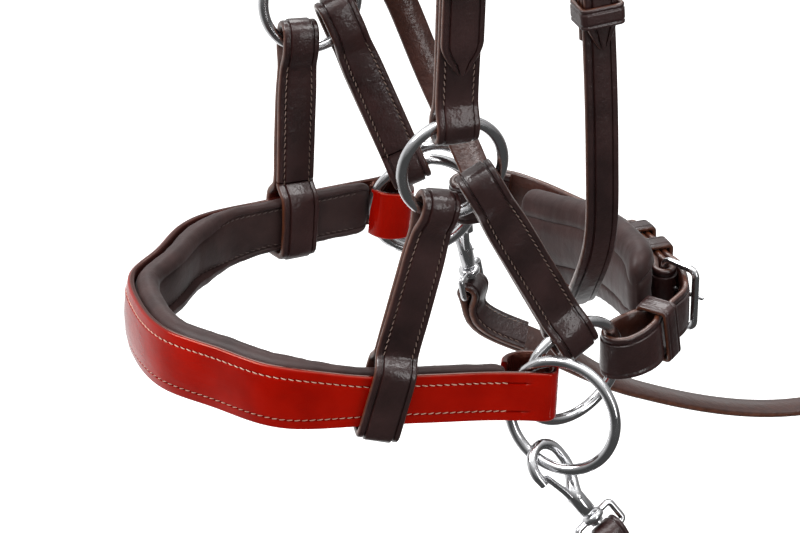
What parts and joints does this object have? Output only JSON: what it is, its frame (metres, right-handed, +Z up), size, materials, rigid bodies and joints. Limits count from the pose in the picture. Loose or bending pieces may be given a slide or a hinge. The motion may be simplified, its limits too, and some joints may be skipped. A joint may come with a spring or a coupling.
{
  "type": "sidepull bridle",
  "caption": "Bitless sidepull bridle: padded patent noseband on hanging straps and rings, cheeks, throatlash, chin strap with pad, browband, crown and buckled reins on snap hooks.",
  "frame": {"origin": "centre of the flat underside of the poll pad, where a bridle bracket carries the bridle", "axes": "+Z up, +X to the horse's near (left) side, -Y to the nose, +Y to the back of the head"},
  "size_m": [0.2173, 0.6312, 0.665],
  "materials": {
    "leather": "satin",
    "soft_leather": "matte",
    "patent": "gloss",
    "steel": "polished"
  },
  "bodies": {
    "leather": {"crown": "leather", "throatlash": "leather", "chin_strap": "leather", "chin_billet": "leather", "chin_keeper": "leather", "chin_fold_keeper": "leather", "rein_near": "leather", "rein_far": "leather", "rein_keeper": "leather", "cheekpiece_near": "leather", "cheek_keeper_near": "leather", "throat_keeper_near": "leather", "front_hanger_near": "leather", "rear_hanger_near": "leather", "cheek_buckle_frame_near": "steel", "throat_buckle_frame_near": "steel", "snap_eye_near": "steel", "cheekpiece_far": "leather", "cheek_keeper_far": "leather", "throat_keeper_far": "leather", "front_hanger_far": "leather", "rear_hanger_far": "leather", "cheek_buckle_frame_far": "steel", "throat_buckle_frame_far": "steel", "snap_eye_far": "steel", "chin_buckle_frame": "steel", "rein_buckle_frame": "steel", "poll_pad": "soft_leather", "noseband_lining": "soft_leather", "chin_pad": "soft_leather", "noseband_patent_strap": "patent"},
    "upper_ring_near": {"upper_ring_near": "steel"},
    "junction_ring_near": {"junction_ring_near": "steel"},
    "rein_ring_near": {"rein_ring_near": "steel"},
    "snap_hook_near": {"snap_hook_near": "steel"},
    "snap_gate_near": {"snap_gate_near": "steel"},
    "upper_ring_far": {"upper_ring_far": "steel"},
    "junction_ring_far": {"junction_ring_far": "steel"},
    "rein_ring_far": {"rein_ring_far": "steel"},
    "snap_hook_far": {"snap_hook_far": "steel"},
    "snap_gate_far": {"snap_gate_far": "steel"},
    "cheek_buckle_tongue_near": {"cheek_buckle_tongue_near": "steel"},
    "cheek_buckle_tongue_far": {"cheek_buckle_tongue_far": "steel"},
    "throat_buckle_tongue_near": {"throat_buckle_tongue_near": "steel"},
    "throat_buckle_tongue_far": {"throat_buckle_tongue_far": "steel"},
    "chin_buckle_tongue": {"chin_buckle_tongue": "steel"},
    "rein_buckle_tongue": {"rein_buckle_tongue": "steel"},
    "cheek_runner_near": {"cheek_runner_near": "leather"},
    "cheek_runner_far": {"cheek_runner_far": "leather"},
    "throat_runner_near": {"throat_runner_near": "leather"},
    "throat_runner_far": {"throat_runner_far": "leather"},
    "chin_runner": {"chin_runner": "leather"},
    "rein_runner": {"rein_runner": "leather"},
    "browband": {"browband_patent_strap": "patent", "browband_lining": "soft_leather"}
  },
  "joints": [
    {"name": "upper_ring_near_turn", "type": "hinge", "parent": "leather", "child": "upper_ring_near", "pos_m": [0.082, -0.0098, -0.4302], "axis": [0.9945, 0, -0.1045], "continuous": true},
    {"name": "junction_ring_near_turn", "type": "hinge", "parent": "leather", "child": "junction_ring_near", "pos_m": [0.0725, 0.0411, -0.5246], "axis": [0.9523, 0.2659, -0.1495], "continuous": true},
    {"name": "rein_ring_near_turn", "type": "hinge", "parent": "leather", "child": "rein_ring_near", "pos_m": [0.0942, 0.0289, -0.5304], "axis": [0.7052, -0.7052, 0.0732], "continuous": true},
    {"name": "snap_swivel_near", "type": "hinge", "parent": "leather", "child": "snap_hook_near", "pos_m": [0.10007, 0.03947, -0.57132], "axis": [0.3005, 0.561, -0.7714], "range_deg": [-2, 12]},
    {"name": "snap_gate_near_pin", "type": "hinge", "parent": "snap_hook_near", "child": "snap_gate_near", "pos_m": [0.09768, 0.03332, -0.56402], "axis": [-0.7236, -0.3928, -0.5676], "range_deg": [0, 8], "stiffness_Nm_per_rad": 0.02, "springref_deg": -20.05},
    {"name": "upper_ring_far_turn", "type": "hinge", "parent": "leather", "child": "upper_ring_far", "pos_m": [-0.082, -0.0098, -0.4302], "axis": [-0.9945, 0, -0.1045], "continuous": true},
    {"name": "junction_ring_far_turn", "type": "hinge", "parent": "leather", "child": "junction_ring_far", "pos_m": [-0.0765, 0.0352, -0.5218], "axis": [-0.9833, 0.1155, 0.1409], "continuous": true},
    {"name": "rein_ring_far_turn", "type": "hinge", "parent": "leather", "child": "rein_ring_far", "pos_m": [-0.0875, 0.04, -0.5225], "axis": [-0.9803, -0.1905, 0.0523], "continuous": true},
    {"name": "snap_swivel_far", "type": "hinge", "parent": "leather", "child": "snap_hook_far", "pos_m": [-0.09254, 0.06054, -0.56237], "axis": [-0.0499, 0.1997, -0.9786], "range_deg": [-20, 10]},
    {"name": "snap_gate_far_pin", "type": "hinge", "parent": "snap_hook_far", "child": "snap_gate_far", "pos_m": [-0.09116, 0.05872, -0.5528], "axis": [0.1472, -0.9676, -0.205], "range_deg": [0, 8], "stiffness_Nm_per_rad": 0.02, "springref_deg": -20.05},
    {"name": "cheek_buckle_tongue_near_lift", "type": "hinge", "parent": "leather", "child": "cheek_buckle_tongue_near", "pos_m": [0.092, -0.0098, -0.31965], "axis": [0, 1, 0], "range_deg": [0, 12]},
    {"name": "cheek_buckle_tongue_far_lift", "type": "hinge", "parent": "leather", "child": "cheek_buckle_tongue_far", "pos_m": [-0.092, -0.0098, -0.31965], "axis": [0, -1, 0], "range_deg": [0, 12]},
    {"name": "throat_buckle_tongue_near_lift", "type": "hinge", "parent": "leather", "child": "throat_buckle_tongue_near", "pos_m": [0.0885, 0.0375, -0.338], "axis": [0, 0.9952, 0.0979], "range_deg": [0, 12]},
    {"name": "throat_buckle_tongue_far_lift", "type": "hinge", "parent": "leather", "child": "throat_buckle_tongue_far", "pos_m": [-0.08983, 0.0115, -0.338], "axis": [0, -0.9994, -0.0341], "range_deg": [0, 12]},
    {"name": "chin_buckle_tongue_lift", "type": "hinge", "parent": "leather", "child": "chin_buckle_tongue", "pos_m": [0.036, 0.09204, -0.51526], "axis": [0.054, -0.0108, 0.9985], "range_deg": [0, 12]},
    {"name": "rein_buckle_tongue_lift", "type": "hinge", "parent": "leather", "child": "rein_buckle_tongue", "pos_m": [0.0825, 0.052, -0.128], "axis": [0, 0.9939, 0.1101], "range_deg": [0, 12]},
    {"name": "cheek_runner_near_slide", "type": "slide", "parent": "leather", "child": "cheek_runner_near", "axis": [0.0872, 0, 0.9962], "range_m": [-0.005, 0.005]},
    {"name": "cheek_runner_far_slide", "type": "slide", "parent": "leather", "child": "cheek_runner_far", "axis": [-0.0872, 0, 0.9962], "range_m": [-0.005, 0.005]},
    {"name": "throat_runner_near_slide", "type": "slide", "parent": "leather", "child": "throat_runner_near", "axis": [0.0008, 0.0743, -0.9972], "range_m": [-0.005, 0.005]},
    {"name": "throat_runner_far_slide", "type": "slide", "parent": "leather", "child": "throat_runner_far", "axis": [-0.0229, -0.0858, 0.996], "range_m": [-0.005, 0.005]},
    {"name": "chin_runner_slide", "type": "slide", "parent": "leather", "child": "chin_runner", "axis": [-0.9984, -0.0314, -0.0475], "range_m": [-0.005, 0.005]},
    {"name": "rein_runner_slide", "type": "slide", "parent": "leather", "child": "rein_runner", "axis": [0, -0.1101, 0.9939], "range_m": [-0.005, 0.005]},
    {"name": "browband_slide", "type": "slide", "parent": "leather", "child": "browband", "axis": [0, 0, 1], "range_m": [-0.006, 0.006]}
  ]
}
